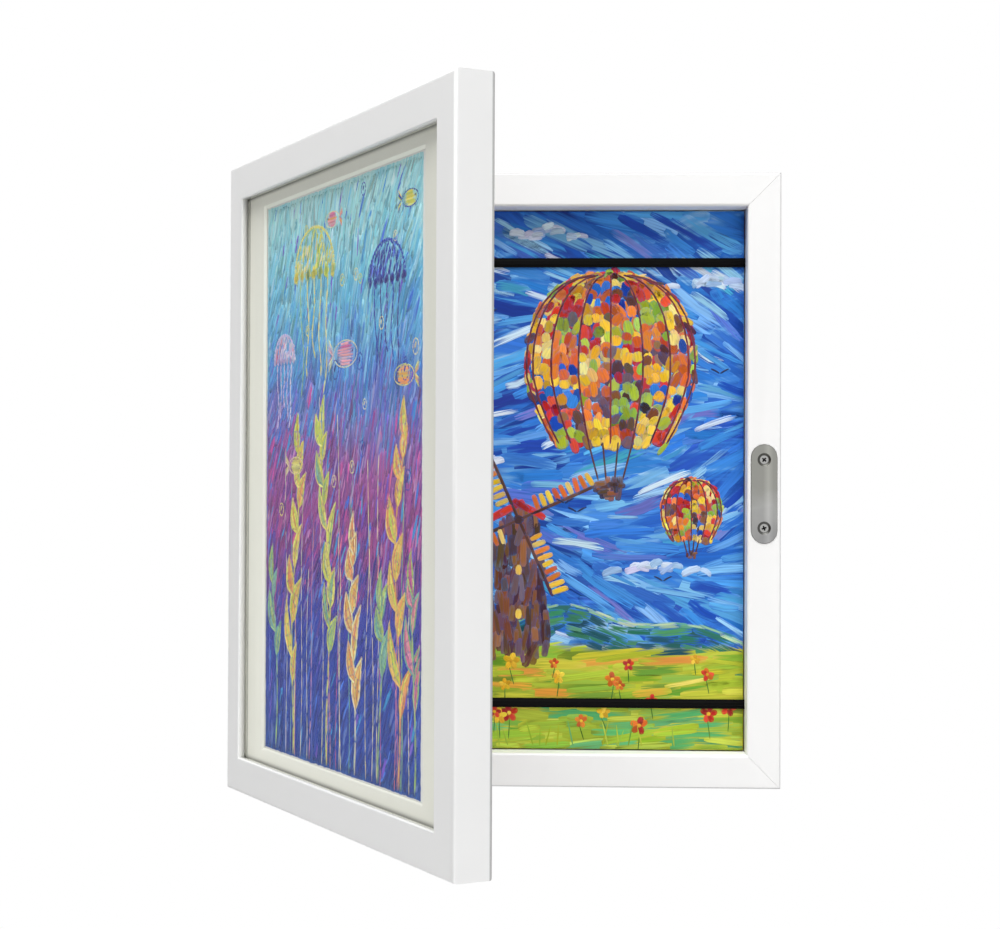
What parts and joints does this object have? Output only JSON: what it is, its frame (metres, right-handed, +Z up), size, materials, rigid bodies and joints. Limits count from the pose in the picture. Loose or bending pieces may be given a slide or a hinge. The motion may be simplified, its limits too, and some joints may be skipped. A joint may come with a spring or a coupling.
{
  "type": "childrens art frame",
  "caption": "Front-opening wall frame for children's art: a hinged, glazed door with a mat swings open over a shallow box that stores drawings behind elastic bands.",
  "frame": {"origin": "centre of the back panel's back face, which lies against the wall", "axes": "+X to the right seen from the front, +Y into the wall, +Z up"},
  "size_m": [0.308, 0.2888, 0.345],
  "materials": {
    "white_paint": "white satin paint on wood",
    "door_paint": "white satin paint on wood",
    "pale_wood": "bare wood",
    "board": "brown hardboard",
    "paper": "drawing paper",
    "painted_paper": "poster paint on paper",
    "drawn_paper": "chalk pastel on paper",
    "mat_card": "cream mat board",
    "elastic": "black woven elastic",
    "nickel": "satin nickel plate",
    "steel": "zinc-plated steel",
    "dark_metal": "dark sintered magnet",
    "black_plastic": "black moulded plastic",
    "clear_acrylic": "clear sheet"
  },
  "bodies": {
    "box": {"box_top_rail": "white_paint", "box_bottom_rail": "white_paint", "box_hinge_stile": "white_paint", "box_latch_stile": "white_paint", "corner_dowel_top_left": "pale_wood", "corner_dowel_top_right": "pale_wood", "corner_dowel_bottom_left": "pale_wood", "corner_dowel_bottom_right": "pale_wood", "back_panel": "board", "back_panel_screw_top_left": "steel", "back_panel_screw_top_right": "steel", "back_panel_screw_bottom_left": "steel", "back_panel_screw_bottom_right": "steel", "stored_sheets": "paper", "stored_front_sheet": "painted_paper", "elastic_band_upper": "elastic", "elastic_band_lower": "elastic", "strike_plate": "nickel", "strike_screw_upper": "steel", "strike_screw_lower": "steel", "portrait_hanger": "steel", "portrait_hanger_screw_left": "steel", "portrait_hanger_screw_right": "steel", "landscape_hanger": "steel", "landscape_hanger_screw_left": "steel", "landscape_hanger_screw_right": "steel", "upper_hinge_box_leaf": "nickel", "upper_hinge_pin": "nickel", "upper_hinge_box_leaf_screw_upper": "steel", "upper_hinge_box_leaf_screw_lower": "steel", "lower_hinge_box_leaf": "nickel", "lower_hinge_pin": "nickel", "lower_hinge_box_leaf_screw_upper": "steel", "lower_hinge_box_leaf_screw_lower": "steel"},
    "door": {"door_top_rail": "door_paint", "door_bottom_rail": "door_paint", "door_hinge_stile": "door_paint", "door_latch_stile": "door_paint", "door_backing": "board", "glazing": "clear_acrylic", "mat": "mat_card", "display_sheet": "drawn_paper", "turn_button_upper_left_screw": "steel", "turn_button_upper_right_screw": "steel", "turn_button_lower_left_screw": "steel", "turn_button_lower_right_screw": "steel", "magnet_case": "black_plastic", "magnet": "dark_metal", "upper_hinge_door_leaf": "nickel", "upper_hinge_door_leaf_screw_upper": "steel", "upper_hinge_door_leaf_screw_lower": "steel", "lower_hinge_door_leaf": "nickel", "lower_hinge_door_leaf_screw_upper": "steel", "lower_hinge_door_leaf_screw_lower": "steel"},
    "turn_button_upper_left_body": {"turn_button_upper_left": "nickel"},
    "turn_button_upper_right_body": {"turn_button_upper_right": "nickel"},
    "turn_button_lower_left_body": {"turn_button_lower_left": "nickel"},
    "turn_button_lower_right_body": {"turn_button_lower_right": "nickel"}
  },
  "joints": [
    {"name": "door_hinge", "type": "hinge", "parent": "box", "child": "door", "pos_m": [-0.1474, -0.0245, 0], "axis": [0, 0, -1], "range_deg": [-60.8, 119.2]},
    {"name": "turn_button_upper_left_swivel", "type": "hinge", "parent": "door", "child": "turn_button_upper_left_body", "pos_m": [-0.11693, -0.09614, 0.1629], "axis": [0.8729, 0.4879, 0], "range_deg": [-90, 90]},
    {"name": "turn_button_upper_right_swivel", "type": "hinge", "parent": "door", "child": "turn_button_upper_right_body", "pos_m": [-0.04863, -0.21835, 0.1629], "axis": [0.8729, 0.4879, 0], "range_deg": [-90, 90]},
    {"name": "turn_button_lower_left_swivel", "type": "hinge", "parent": "door", "child": "turn_button_lower_left_body", "pos_m": [-0.11693, -0.09614, -0.1629], "axis": [0.8729, 0.4879, 0], "range_deg": [-90, 90]},
    {"name": "turn_button_lower_right_swivel", "type": "hinge", "parent": "door", "child": "turn_button_lower_right_body", "pos_m": [-0.04863, -0.21835, -0.1629], "axis": [0.8729, 0.4879, 0], "range_deg": [-90, 90]}
  ]
}
